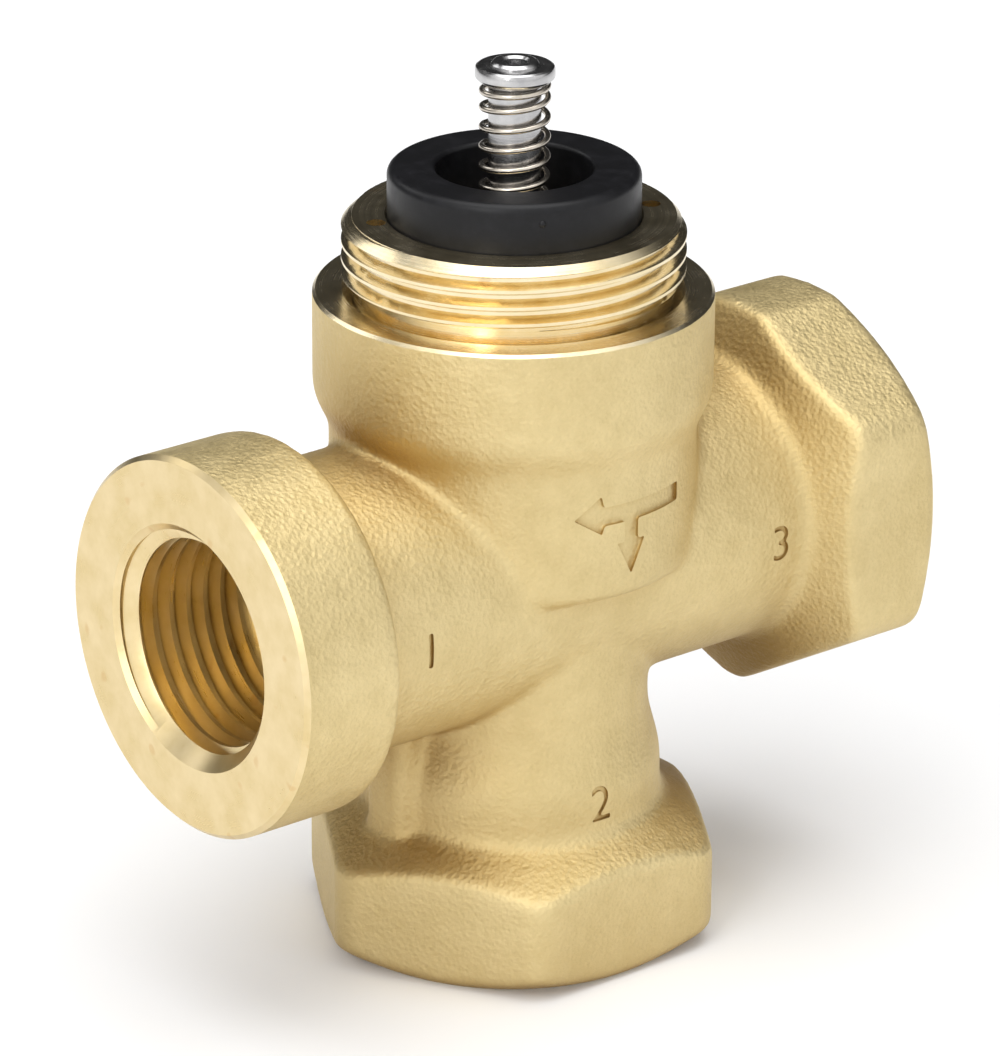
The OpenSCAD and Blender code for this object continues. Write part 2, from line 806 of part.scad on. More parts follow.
// Nut that clamps the plug on the spindle's foot
module plug_nut() {
    color([0.75, 0.75, 0.76])
        difference() {
            translate([0, 0, plug_foot_z])
                hexagon(plug_nut_af, plug_nut_t);
            rod(spindle_foot_d / 2 + seating_gap, plug_foot_z - 1, plug_foot_z + plug_nut_t + 1);
        }
}

valve_body();
seat_cage();
cage_o_ring();
bonnet();
bonnet_o_ring();
guide_bush();
gland_washer();
stem_o_ring_lower();
o_ring_spacer();
stem_o_ring_upper();
gland_nut();
guide_ring();
spring_seat();
return_spring();
spindle();
spindle_cap();
plug_washer_upper();
plug_seal_upper();
plug_carrier();
plug_seal_lower();
plug_washer_lower();
plug_nut();
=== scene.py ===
import json
from math import cos, pi, radians, sin

import bpy
import numpy as np
from mathutils import Matrix, Vector

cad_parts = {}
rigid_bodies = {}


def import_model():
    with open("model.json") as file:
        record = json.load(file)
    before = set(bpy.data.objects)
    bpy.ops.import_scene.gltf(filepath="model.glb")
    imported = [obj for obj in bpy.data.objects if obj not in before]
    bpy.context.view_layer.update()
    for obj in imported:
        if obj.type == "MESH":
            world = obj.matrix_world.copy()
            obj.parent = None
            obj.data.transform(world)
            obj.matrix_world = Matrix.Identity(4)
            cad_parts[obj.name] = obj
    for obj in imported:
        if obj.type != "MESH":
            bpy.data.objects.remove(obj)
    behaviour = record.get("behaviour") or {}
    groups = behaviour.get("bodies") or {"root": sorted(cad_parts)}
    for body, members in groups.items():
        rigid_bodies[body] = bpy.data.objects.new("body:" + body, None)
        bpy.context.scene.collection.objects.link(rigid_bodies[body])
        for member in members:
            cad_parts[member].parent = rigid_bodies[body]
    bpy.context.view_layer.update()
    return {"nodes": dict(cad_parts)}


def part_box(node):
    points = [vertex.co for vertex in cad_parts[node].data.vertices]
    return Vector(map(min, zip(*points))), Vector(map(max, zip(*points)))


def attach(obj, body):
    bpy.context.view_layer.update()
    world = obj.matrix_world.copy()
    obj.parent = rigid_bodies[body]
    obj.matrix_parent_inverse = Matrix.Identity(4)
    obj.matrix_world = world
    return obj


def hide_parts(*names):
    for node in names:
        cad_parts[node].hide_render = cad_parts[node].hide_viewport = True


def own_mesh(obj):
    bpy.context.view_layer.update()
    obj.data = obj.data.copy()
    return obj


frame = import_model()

# ---------------------------------------------------------------------------
# Sizes of the valve, in millimetres. Z = 0 is the face of port B.
# ---------------------------------------------------------------------------
MM = 0.001

AXIS_H = 35.0            # height of the straight way's axis
HALF_LENGTH = 35.5       # centre to the faces of ports A and AB
STOCK = 0.8              # allowance that machining takes off a cast face

BARREL_R, BARREL_LOW, BARREL_ROUND = 16.15, 35.7, 1.3
COLLAR_R, COLLAR_SIDE_LOW, COLLAR_TOP = 17.55, 51.5, 59.9
NECK_R = 13.3
FLANGE_R, FLANGE_T = 16.9, 10.2
HEX_AF, HEX_T, HEX_CORNER_R, HEX_SLOPE, HEX_LIP = 34.0, 10.4, 19.1, 29.0, 0.6
CROWN_R, CROWN_H = 22.0, 17.8
LOWER_NECK_R, SWELL_R, WAIST_DROP, SWELL_DROP = 12.2, 13.4, 13.0, 19.5
WEB_W, WEB_REACH = 5.8, 14.9

PORT_MINOR_R, PORT_MAJOR_R, PORT_PITCH, PORT_DEPTH = 9.3155, 10.4775, 1.814, 13.0
PORT_MOUTH_R = 10.95
WAY_ROOT_R, WAY_A_R, WAY_AB_R, TAPER_A, TAPER_AB = 8.3155, 3.4, 4.8, 3.0, 11.0

LOWER_SEAT_Z, CHAMBER_FLOOR_Z = 31.63, 29.4
SEAT_R, SEAT_RIM_R, CHAMBER_R = 5.2, 6.2, 8.0
LOWER_CHAMBER_R, LOWER_ROOF_Z = 8.2, 26.8
CAGE_SHOULDER_Z, CAGE_BORE_R = 38.95, 8.85
GALLERY_Z, GALLERY_R = 41.75, 12.05
SOCKET_R, SOCKET_Z, SOCKET_MOUTH = 14.05, 53.4, 0.9

BONNET_FOOT_Z, BONNET_TOP = 51.55, 66.6
THREAD_R, THREAD_ROOT_R, THREAD_PITCH, THREAD_LOW = 15.0, 14.08, 1.5, 60.8
BONNET_BEVEL = 0.9
RELIEF_R = 13.9
RING_R, RING_BORE_R, RING_LOW, RING_TOP = 11.03, 6.85, 63.1, 70.95
PIP_R, PIP_OUT, PIP_TURN, PIP_Z = 0.35, RING_R - 0.15, -116.5, 69.3
SPANNER_R, SPANNER_TURN, SPANNER_HOLE_R, SPANNER_DEPTH = 12.2, -26.0, 0.85, 2.5
GLAND_LOW, GLAND_THREAD_R = 60.1, 5.0
GLAND_BORE_R, GLAND_WASHER_Z = 3.9, 55.5

SPINDLE_R, SPINDLE_FOOT_R, SPINDLE_NECK_R = 2.3, 2.0, 1.5
CAP_R, CAP_LOW, CAP_TOP = 3.47, 78.65, 80.05
TIP_R, TIP_TOP = 2.1, 80.45
SPRING_LOW, SPRING_WIRE_R, SPRING_R = 61.9, 0.28, 2.847
SPRING_CURLS, SPRING_END_RISE = 10, 1.01

NUMERAL_SIZE, MARK_DEPTH, MARK_GRID = 4.7, 0.35, 0.12     # marks sunk into the forging

LATHE_SIDES = 160
CAST_GRID = 0.33      # spacing of the forging's points
CAST_FACES = 128_000                             # triangles that the forging keeps before machining


# ---------------------------------------------------------------------------
# Workshop: how the pieces are made
# ---------------------------------------------------------------------------
def deselect_all():
    if bpy.context.object and bpy.context.object.mode != "OBJECT":
        bpy.ops.object.mode_set(mode="OBJECT")
    bpy.ops.object.select_all(action="DESELECT")


def pick(*pieces):
    """Select these pieces alone, the first one active."""
    deselect_all()
    for piece in pieces:
        piece.select_set(True)
    bpy.context.view_layer.objects.active = pieces[0]
    return pieces[0]


def edit(piece):
    pick(piece)
    bpy.ops.object.mode_set(mode="EDIT")
    bpy.ops.mesh.select_all(action="SELECT")


def done():
    bpy.ops.object.mode_set(mode="OBJECT")
    deselect_all()


def settle(piece):
    """Move the piece's place and turn into its mesh."""
    pick(piece)
    bpy.ops.object.transform_apply(location=True, rotation=True, scale=True)
    deselect_all()
    return piece


def outline(name, points):
    """A closed outline in the XZ plane through points given as (x, z)."""
    deselect_all()
    bpy.ops.mesh.primitive_circle_add(vertices=len(points), radius=MM, location=(0, 0, 0))
    piece = bpy.context.object
    piece.name = name
    for vertex, (x, z) in zip(piece.data.vertices, points):
        vertex.co = (x * MM, 0, z * MM)
    return piece


def tidy_mesh(piece, gap=0.002):
    """Merge doubled points, drop loose edges and turn the faces outwards."""
    edit(piece)
    bpy.ops.mesh.remove_doubles(threshold=gap * MM)
    bpy.ops.mesh.delete_loose()
    bpy.ops.mesh.select_all(action="SELECT")
    bpy.ops.mesh.normals_make_consistent(inside=False)
    done()
    return piece


def turned(name, profile, sides=LATHE_SIDES):
    """Turn a profile of (radius, height) once round the Z axis."""
    piece = outline(name, profile)
    edit(piece)
    bpy.ops.mesh.spin(steps=sides, angle=2 * pi, center=(0, 0, 0), axis=(0, 0, 1))
    done()
    return tidy_mesh(piece)


def arc(x, z, r, start, end, steps=8):
    """Points of an arc about (x, z), between two angles in degrees."""
    turns = [radians(start + (end - start) * i / steps) for i in range(steps + 1)]
    return [(x + r * cos(a), z + r * sin(a)) for a in turns]


def aim(piece, way):
    """Swing a piece made along +Z from the centre so that it runs towards a port."""
    piece.rotation_euler = {"A": (0, radians(-90), 0), "AB": (0, radians(90), 0),
                            "B": (radians(180), 0, 0)}[way]
    piece.location = (0, 0, AXIS_H * MM)
    return settle(piece)


def combine(piece, tool, how):
    """Cut, join or intersect the piece with a tool, which is used up."""
    pick(piece)
    work = piece.modifiers.new("work", "BOOLEAN")
    work.operation = how
    work.solver = "MANIFOLD"
    work.object = tool
    bpy.ops.object.modifier_apply(modifier=work.name)
    bpy.data.objects.remove(tool)
    return piece


def cut(piece, tool):
    return combine(piece, tool, "DIFFERENCE")


def hexagon_bar(name, low, high):
    """Hexagonal bar with two flats facing +Y and -Y."""
    deselect_all()
    bpy.ops.mesh.primitive_cylinder_add(
        vertices=6, radius=HEX_AF / 2 / cos(radians(30)) * MM, depth=(high - low) * MM,
        location=(0, 0, (low + high) / 2 * MM), rotation=(0, 0, radians(30)))
    piece = bpy.context.object
    piece.name = name
    return settle(piece)


def rod(name, r, low, high, sides=96):
    deselect_all()
    bpy.ops.mesh.primitive_cylinder_add(
        vertices=sides, radius=r * MM, depth=(high - low) * MM,
        location=(0, 0, (low + high) / 2 * MM))
    piece = bpy.context.object
    piece.name = name
    return settle(piece)


def screw_ridge(name, root_r, crest_r, pitch, low, turns, root_flat, crest_flat, sides=LATHE_SIDES):
    """The helical ridge of a right-handed thread, its back sunk a little below the root."""
    half_root = (pitch - root_flat) / 2
    half_crest = crest_flat / 2
    back_r = root_r - 0.35
    piece = outline(name, [
        (back_r, low - half_root), (root_r, low - half_root), (crest_r, low - half_crest),
        (crest_r, low + half_crest), (root_r, low + half_root), (back_r, low + half_root)])
    pick(piece)
    screw = piece.modifiers.new("screw", "SCREW")
    screw.axis = "Z"
    screw.angle = 2 * pi
    screw.screw_offset = pitch * MM
    screw.iterations = turns
    screw.steps = screw.render_steps = sides
    screw.use_merge_vertices = True
    screw.merge_threshold = 1e-7
    bpy.ops.object.modifier_apply(modifier=screw.name)
    edit(piece)
    bpy.ops.mesh.fill_holes(sides=0)
    bpy.ops.mesh.select_all(action="SELECT")
    bpy.ops.mesh.normals_make_consistent(inside=False)
    done()
    return piece


def smooth_by_angle(piece, angle):
    pick(piece)
    bpy.ops.object.shade_smooth_by_angle(angle=radians(angle))
    deselect_all()
    return piece


# ---------------------------------------------------------------------------
# Finishes
# ---------------------------------------------------------------------------
class Value:
    """A number socket of a shader, on which Python's operators add Math nodes."""

    def __init__(self, finish, socket):
        self.finish, self.socket = finish, socket

    def _math(self, operation, *operands, clamp=False):
        return self.finish.node("ShaderNodeMath", {"operation": operation, "use_clamp": clamp}, *operands)

    def __add__(self, other):
        return self._math("ADD", self, other)

    def __sub__(self, other):
        return self._math("SUBTRACT", self, other)

    def __rsub__(self, other):
        return self._math("SUBTRACT", other, self)

    def __mul__(self, other):
        return self._math("MULTIPLY", self, other)

    def __pow__(self, other):
        return self._math("POWER", self, other)

    __radd__, __rmul__ = __add__, __mul__

    def clamped(self):
        return self._math("MULTIPLY", self, 1.0, clamp=True)


class Finish:
    """A procedural material, built node by node on Object coordinates."""

    def __init__(self, name, **constants):
        self.material = bpy.data.materials.new(name)
        self.material.use_nodes = True
        self.tree = self.material.node_tree
        self.shader = self.tree.nodes["Principled BSDF"]
        self.coords = self.node("ShaderNodeTexCoord", out="Object")
        for socket, value in constants.items():
            self.shader.inputs[socket.replace("_", " ")].default_value = value

    def node(self, kind, settings=None, *operands, out=0, **inputs):
        """Add a node: its settings first, then its sockets by place or by name."""
        made = self.tree.nodes.new(kind)
        for setting, value in (settings or {}).items():
            setattr(made, setting, value)
        fed = list(enumerate(operands)) + [(key.replace("_", " "), value) for key, value in inputs.items()]
        for key, value in fed:
            self.feed(made.inputs[key], value)
        return Value(self, made.outputs[out])

    def feed(self, socket, value):
        if isinstance(value, Value):
            self.tree.links.new(value.socket, socket)
        else:
            socket.default_value = value

    def noise(self, per_mm, detail=2.0, rough=0.5):
        """Noise from 0 to 1, with so many waves per millimetre."""
        return self.node("ShaderNodeTexNoise", {"noise_dimensions": "3D"}, Vector=self.coords,
                         Scale=per_mm / MM, Detail=detail, Roughness=rough)

    def cells(self, per_mm):
        return self.node("ShaderNodeTexVoronoi", {"feature": "SMOOTH_F1"}, Vector=self.coords,
                         Scale=per_mm / MM, Smoothness=0.4)

    def band(self, value, low, high):
        """Bring value from low..high to 0..1, clamped."""
        return self.node("ShaderNodeMapRange", {"clamp": True}, value, low, high, 0.0, 1.0)

    def mix(self, factor, first, second):
        made = self.tree.nodes.new("ShaderNodeMix")
        made.data_type = "RGBA"
        self.feed(made.inputs[0], factor)
        self.feed(made.inputs[6], first)
        self.feed(made.inputs[7], second)
        return Value(self, made.outputs[2])

    def bump(self, height, depth_mm, strength=1.0, under=None):
        """Raise the surface by height, from 0 to 1, times a depth in millimetres."""
        inputs = {"Height": height, "Distance": depth_mm * MM, "Strength": strength}
        if under is not None:
            inputs["Normal"] = under
        return self.node("ShaderNodeBump", {}, **inputs)

    def rings(self, axis):
        """A point's distance from a turning axis and its place along it, as a vector in metres."""
        apart = self.node("ShaderNodeSeparateXYZ", {}, self.coords)
        x, y, z = (Value(self, apart.socket.node.outputs[i]) for i in range(3))
        if axis == "X":
            side, along = z - AXIS_H * MM, x
            reach = (side * side + y * y) ** 0.5
        else:
            reach, along = (x * x + y * y) ** 0.5, z
        return self.node("ShaderNodeCombineXYZ", {}, reach, along, 0.0)

    def lathe_lines(self, axis, per_mm, rough=0.6):
        """Fine marks of a turning tool, which run round an axis."""
        return self.node("ShaderNodeTexNoise", {"noise_dimensions": "3D"}, Vector=self.rings(axis),
                         Scale=per_mm / MM, Detail=2.0, Roughness=rough)

    def open_space(self, reach_mm, samples, own_piece):
        """How open the surface lies: 1 in the open, 0 where all is closed within reach."""
        return self.node("ShaderNodeAmbientOcclusion", {"samples": samples, "only_local": own_piece},
                         Distance=reach_mm * MM, out=1)

    def paint(self, **sockets):
        for socket, value in sockets.items():
            self.feed(self.shader.inputs[socket.replace("_", " ")], value)
        return self.material


def rgb(r, g, b):
    return (r, g, b, 1.0)


def blasted_brass_painted_shade():
    """Forged brass after shot blasting: pale and finely pitted, with painted shade: darker gold in its
    hollows and under the body, from ambient occlusion.
    """
    f = Finish("blasted_brass_painted_shade", Metallic=1.0)
    patches = f.band(f.noise(0.07, 3.0, 0.6), 0.36, 0.66)
    cloud = f.band(f.noise(0.5, 3.0, 0.6), 0.3, 0.7)
    grain = f.noise(3.2, 3.0, 0.7)
    pits = f.cells(2.1)
    speck = f.band(grain, 0.35, 0.68)
    tone = (patches * 0.35 + cloud * 0.3 + speck * 0.35).clamped()
    colour = f.mix(tone, rgb(0.60, 0.475, 0.23), rgb(0.80, 0.67, 0.38))
    # Painted shade: ambient occlusion of the piece itself (near) and of the piece with the floor (wide)
    # darkens the colour to deep gold in hollows, between parts and on the undersides.
    painted_shade_near = f.open_space(22, 6, True)
    painted_shade_wide = f.open_space(40, 4, False)
    colour = f.mix(f.band(painted_shade_near, 0.92, 0.22), colour, rgb(0.48, 0.31, 0.095))
    colour = f.mix(f.band(painted_shade_wide, 0.55, 0.15), colour, rgb(0.36, 0.235, 0.085))
    swell = f.bump(f.noise(0.55, 2.0, 0.5), 0.06, 0.8)
    dents = f.bump(pits, 0.07, 0.8, under=swell)
    skin = f.bump(grain, 0.06, 1.0, under=dents)
    rough = 0.46 + speck * 0.16 + cloud * 0.05
    return f.paint(Base_Color=colour, Roughness=rough, Normal=skin)


def cut_brass(name, axis, dark, light, dull=0.0):
    """Bright turned brass, with the tool's fine lines round its axis."""
    f = Finish(name, Metallic=1.0)
    lines = f.lathe_lines(axis, 9.0)
    bands = f.lathe_lines(axis, 1.3, 0.5)
    haze = f.band(f.noise(0.3, 3.0, 0.6), 0.35, 0.7)
    spots = f.band(f.noise(0.45, 1.0, 0.4), 0.70, 0.76)
    colour = f.mix(haze, dark, light)
    colour = f.mix(spots * 0.35, colour, rgb(0.60, 0.36, 0.13))
    rough = 0.17 + dull + haze * 0.06 + f.band(lines, 0.3, 0.7) * 0.08
    skin = f.bump(lines, 0.006, 0.8, under=f.bump(bands, 0.008, 0.6))
    return f.paint(Base_Color=colour, Roughness=rough, Normal=skin)


def turned_steel(name, light, dark, rough):
    f = Finish(name, Metallic=1.0)
    lines = f.lathe_lines("Z", 8.0)
    haze = f.band(f.noise(0.8, 3.0, 0.6), 0.35, 0.7)
    colour = f.mix(haze, dark, light)
    return f.paint(Base_Color=colour, Roughness=rough + haze * 0.06 + f.band(lines, 0.3, 0.7) * 0.06,
                   Normal=f.bump(lines, 0.004, 0.7))


def moulded_plastic(name, light, dark, rough, shine=0.5):
    f = Finish(name, Metallic=0.0, Specular_IOR_Level=shine)
    grain = f.noise(5.0, 3.0, 0.6)
    scuff = f.band(f.noise(0.6, 4.0, 0.65), 0.45, 0.75)
    return f.paint(Base_Color=f.mix(scuff, dark, light), Roughness=rough + scuff * 0.08 + grain * 0.05,
                   Normal=f.bump(grain, 0.01, 0.6, under=f.bump(f.noise(0.4), 0.03, 0.4)))


def seal_rubber():
    f = Finish("seal_rubber", Metallic=0.0)
    bloom = f.band(f.noise(1.2, 3.0, 0.6), 0.4, 0.7)
    return f.paint(Base_Color=f.mix(bloom, rgb(0.012, 0.012, 0.012), rgb(0.03, 0.03, 0.029)),
                   Roughness=0.55 + bloom * 0.15, Normal=f.bump(f.noise(4.0, 3.0), 0.01, 0.6))


BLASTED_PAINTED_SHADE = blasted_brass_painted_shade()
CUT_X = cut_brass("cut_brass_straight_way", "X", rgb(0.70, 0.55, 0.28), rgb(0.80, 0.65, 0.38), 0.08)
CUT_Z = cut_brass("cut_brass_upright", "Z", rgb(0.84, 0.70, 0.43), rgb(0.92, 0.80, 0.56))
STEEL = turned_steel("turned_steel", rgb(0.60, 0.595, 0.59), rgb(0.45, 0.445, 0.45), 0.17)
SPRING_STEEL = turned_steel("drawn_spring_wire", rgb(0.68, 0.62, 0.54), rgb(0.52, 0.47, 0.40), 0.18)
BLACK = moulded_plastic("black_moulding", rgb(0.009, 0.009, 0.011), rgb(0.005, 0.005, 0.006), 0.36, 0.28)
WHITE = moulded_plastic("white_moulding", rgb(0.82, 0.81, 0.77), rgb(0.72, 0.71, 0.66), 0.40)
RUBBER = seal_rubber()


def give(piece, *materials):
    piece.data.materials.clear()
    for material in materials:
        piece.data.materials.append(material)


def place_piece(piece, body, slot, *nodes):
    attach(piece, body)
    if nodes:
        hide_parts(*nodes)
    return piece


# ---------------------------------------------------------------------------
# Body: forged form first, then machining
# ---------------------------------------------------------------------------
def cosine_rise(r0, r1, z0, z1, steps=10):
    return [(r0 + (r1 - r0) * (1 - cos(pi * i / steps)) / 2, z0 + (z1 - z0) * i / steps)
            for i in range(steps + 1)]


def barrel_form():
    profile = [(0, BARREL_LOW)]
    profile += arc(BARREL_R - BARREL_ROUND, BARREL_LOW + BARREL_ROUND, BARREL_ROUND, -90, 0)
    profile += cosine_rise(BARREL_R, COLLAR_R, COLLAR_SIDE_LOW - 4.2, COLLAR_SIDE_LOW)
    profile += [(COLLAR_R, COLLAR_TOP + STOCK), (0, COLLAR_TOP + STOCK)]
    return turned("barrel", profile)


def hex_profile(reach, root_r, start):
    """Turned form that shapes a hexagonal end: neck, fillet, sloped back and front chamfers."""
    slope = sin(radians(HEX_SLOPE)) / cos(radians(HEX_SLOPE))
    fillet = 1.6
    back = reach - HEX_T
    flat_r = HEX_AF / 2
    cone_r = root_r + fillet * (1 - sin(radians(HEX_SLOPE)))
    cone_back = back - (flat_r - cone_r) * slope
    rise = (HEX_CORNER_R - flat_r) * slope
    return [(0, start), (root_r, start)] + \
        arc(root_r + fillet, cone_back - fillet * cos(radians(HEX_SLOPE)), fillet, 180, 90 + HEX_SLOPE) + \
        [(HEX_CORNER_R, back + rise), (HEX_CORNER_R, reach - rise - HEX_LIP * slope),
         (flat_r - HEX_LIP - STOCK / slope, reach + STOCK), (0, reach + STOCK)]


def hex_end_form(name, reach, root_r, start=0.0):
    """Hexagonal end with its neck, from the centre out along +Z."""
    form = turned(name, hex_profile(reach, root_r, start))
    return combine(form, hexagon_bar("bar", -1, reach + 4), "INTERSECT")


def port_ab_form():
    form = aim(hex_end_form("port_ab", HALF_LENGTH, NECK_R), "AB")
    crown = rod("crown", CROWN_R, -1, HALF_LENGTH + 4, 192)
    crown.rotation_euler = (0, radians(90), 0)
    crown.location = (0, 0, (AXIS_H + CROWN_H - CROWN_R) * MM)
    return combine(form, settle(crown), "INTERSECT")


def port_a_form():
    back = HALF_LENGTH - FLANGE_T
    profile = [(0, 0), (NECK_R, 0)] + arc(NECK_R + 1.2, back - 1.2, 1.2, 180, 90)
    profile += arc(FLANGE_R - 0.5, back + 0.5, 0.5, -90, 0, 4)
    profile += [(FLANGE_R, HALF_LENGTH + STOCK), (0, HALF_LENGTH + STOCK)]
    return aim(turned("port_a", profile), "A")


def port_b_forms():
    base = hex_end_form("port_b", AXIS_H, SWELL_R, SWELL_DROP)
    neck = [(0, 0)] + cosine_rise(LOWER_NECK_R, SWELL_R, WAIST_DROP, SWELL_DROP)
    neck[1:1] = [(LOWER_NECK_R, 0)]
    neck += [(SWELL_R, SWELL_DROP + 1), (0, SWELL_DROP + 1)]
    return aim(base, "B"), aim(turned("lower_neck", neck), "B")


def web_form():
    """Web between port A's neck and the lower hexagon, its outer edges rounded."""
    width, reach, low, high = WEB_W, WEB_REACH, HEX_T / 2, AXIS_H
    deselect_all()
    bpy.ops.mesh.primitive_cube_add(size=1)
    web = bpy.context.object
    web.name = "web"
    web.scale = (reach * MM, width * MM, (high - low) * MM)
    web.location = (-reach / 2 * MM, 0, (low + high) / 2 * MM)
    settle(web)
    edit(web)
    bpy.ops.mesh.select_all(action="DESELECT")
    done()
    for edge in web.data.edges:
        ends = [web.data.vertices[v].co for v in edge.vertices]
        upright = abs(ends[0].z - ends[1].z) > (high - low) / 2 * MM
        edge.select = upright and all(end.x < -reach * 0.9 * MM for end in ends)
    pick(web)
    bpy.ops.object.mode_set(mode="EDIT")
    bpy.ops.mesh.select_mode(type="EDGE")
    bpy.ops.mesh.bevel(offset=width / 3 * MM, segments=6, affect="EDGES")
    bpy.ops.mesh.select_mode(type="VERT")
    done()
    return web


def port_tool(name, way, reach, edge_r=25.0, break_edge=0.0):
    """Facing, mouth chamfer and thread core as one tool; the thread ridge is joined on."""
    root = reach - PORT_DEPTH
    profile = [(0, root), (PORT_MINOR_R, root),
               (PORT_MINOR_R, reach - (PORT_MOUTH_R - PORT_MINOR_R)), (PORT_MOUTH_R, reach)]
    if break_edge:
        profile += [(edge_r - break_edge, reach), (edge_r + 1, reach - break_edge - 1),
                    (edge_r + 6, reach - break_edge - 1), (edge_r + 6, reach + 3)]
    else:
        profile += [(edge_r, reach), (edge_r, reach + 3)]
    profile += [(0, reach + 3)]
    tool = turned(name, profile)
    ridge = screw_ridge("ridge", PORT_MINOR_R, PORT_MAJOR_R, PORT_PITCH, root + PORT_PITCH * 0.6, 7,
                        0.42, 0.42)
    tool = combine(tool, ridge, "UNION")
    return aim(tool, way)


def kidney_way():
    """The slot-shaped way that climbs from port A to the gallery."""
    r, half, climb, entry, rise = WAY_A_R, 3.0, 45.0, CAGE_BORE_R + 1.4, 3.2
    sides = 64
    run = HALF_LENGTH - PORT_DEPTH - entry + 1
    length = run / cos(radians(climb)) + rise
    deselect_all()
    bpy.ops.mesh.primitive_cylinder_add(vertices=sides, radius=r * MM, depth=length * MM,
                                        location=(r * MM, 0, (length / 2 - rise) * MM),
                                        rotation=(0, 0, radians(180 / sides)))
    slot = settle(bpy.context.object)
    for side in (1, -1):
        for vertex in slot.data.vertices:
            vertex.select = vertex.co.y * side > 0
        pick(slot)
        bpy.ops.object.mode_set(mode="EDIT")
        bpy.ops.transform.translate(value=(0, side * half * MM, 0))
        done()
    slot.rotation_euler = (0, radians(-90 - climb), 0)
    slot.location = (-entry * MM, 0, GALLERY_Z * MM)
    return settle(slot)


def chamber_tool():
    """What the boring bar takes out from above, from the collar's mouth to the middle chamber."""
    return turned("chamber_tool", [
        (0, LOWER_SEAT_Z), (SEAT_RIM_R, LOWER_SEAT_Z), (SEAT_RIM_R, CHAMBER_FLOOR_Z),
        (CHAMBER_R, CHAMBER_FLOOR_Z), (CHAMBER_R, CAGE_SHOULDER_Z), (CAGE_BORE_R, CAGE_SHOULDER_Z),
        (CAGE_BORE_R, GALLERY_Z), (GALLERY_R, GALLERY_Z), (GALLERY_R, SOCKET_Z), (SOCKET_R, SOCKET_Z),
        (SOCKET_R, COLLAR_TOP - SOCKET_MOUTH), (SOCKET_R + SOCKET_MOUTH, COLLAR_TOP),
        (COLLAR_R - 0.3, COLLAR_TOP), (COLLAR_R + 0.7, COLLAR_TOP - 1.0), (22, COLLAR_TOP - 1.0),
        (22, COLLAR_TOP + 3), (0, COLLAR_TOP + 3)])


def lower_chamber_tool():
    return turned("lower_chamber_tool", [
        (0, PORT_DEPTH - 1), (WAY_ROOT_R, PORT_DEPTH - 1), (WAY_ROOT_R, PORT_DEPTH + 1),
        (LOWER_CHAMBER_R, PORT_DEPTH + 2), (LOWER_CHAMBER_R, LOWER_ROOF_Z - 3), (SEAT_R, LOWER_ROOF_Z),
        (SEAT_R, LOWER_SEAT_Z + 1), (0, LOWER_SEAT_Z + 1)])


def taper(name, r0, r1, x0, x1, way):
    tool = turned(name, [(0, x0), (r0, x0), (r1, x1), (0, x1)], 96)
    return aim(tool, way)


def flat_mark(name, points, low, high):
    """A flat mark's outline in (x, z), extruded along Y from low to high."""
    mark = outline(name, points)
    edit(mark)
    bpy.ops.mesh.edge_face_add()
    bpy.ops.mesh.extrude_region_move(TRANSFORM_OT_translate={"value": (0, (high - low) * MM, 0)})
    bpy.ops.mesh.select_all(action="SELECT")
    bpy.ops.mesh.normals_make_consistent(inside=False)
    done()
    mark.location = (0, low * MM, 0)
    return settle(mark)


def numeral(digit, x, z, low, high):
    deselect_all()
    bpy.ops.object.text_add(location=(0, 0, 0))
    text = bpy.context.object
    text.data.body = digit
    text.data.align_x, text.data.align_y = "CENTER", "CENTER"
    text.data.size = NUMERAL_SIZE * MM
    text.data.extrude = (high - low) / 2 * MM
    bpy.ops.object.convert(target="MESH")
    mark = bpy.context.object
    mark.rotation_euler = (radians(90), 0, 0)
    mark.location = (x * MM, (low + high) / 2 * MM, z * MM)
    return tidy_mesh(settle(mark), 0.0005)


def sink_mark(body, mark, core):
    """Stamp a mark into the forging's front, down to the core that lies under its surface."""
    cut(mark, core)
    soft = mark.modifiers.new("soft", "REMESH")
    soft.mode = "VOXEL"
    soft.voxel_size = MARK_GRID * MM
    pick(mark)
    bpy.ops.object.modifier_apply(modifier=soft.name)
    smooth_all(mark, 2)
    give(mark, BLASTED_PAINTED_SHADE)
    cut(body, mark)


def stamp_marks(body):
    """Port numbers on the necks, and on the barrel a flow arrow from the common port to the others."""
    neck_r, swell_r, barrel_r = NECK_R - MARK_DEPTH, SWELL_R - MARK_DEPTH, BARREL_R - MARK_DEPTH
    sink_mark(body, numeral("1", -19.5, AXIS_H - 0.2, -NECK_R - 1, -NECK_R + 2),
              aim(rod("under_1", neck_r, 12, 28), "A"))
    sink_mark(body, numeral("3", 20.1, AXIS_H - 0.2, -NECK_R - 1, -NECK_R + 2),
              aim(rod("under_3", neck_r, 12, 28), "AB"))
    sink_mark(body, numeral("2", -0.5, 15.25, -SWELL_R - 1, -SWELL_R + 2), rod("under_2", swell_r, 10, 20))
    arrow = [(cos(radians(turn)) * BARREL_R, AXIS_H + rise) for turn, rise in [
        (-67, 9.8), (-67, 8.1), (-86.8, 8.1), (-86.8, 6.2), (-84.0, 6.2), (-89.4, 3.1), (-94.8, 6.2),
        (-92.0, 6.2), (-92.0, 8.1), (-99.6, 8.1), (-100.4, 7.3), (-110, 9.0), (-100.8, 10.9), (-99.8, 9.8)]]
    sink_mark(body, flat_mark("arrow", arrow, -BARREL_R - 1, -BARREL_R + 3),
              rod("under_arrow", barrel_r, 34, 50, 192))


def points_of(piece):
    return np.array([vertex.co for vertex in piece.data.vertices])


def smooth_all(piece, passes):
    edit(piece)
    bpy.ops.mesh.vertices_smooth(factor=0.5, repeat=passes)
    done()


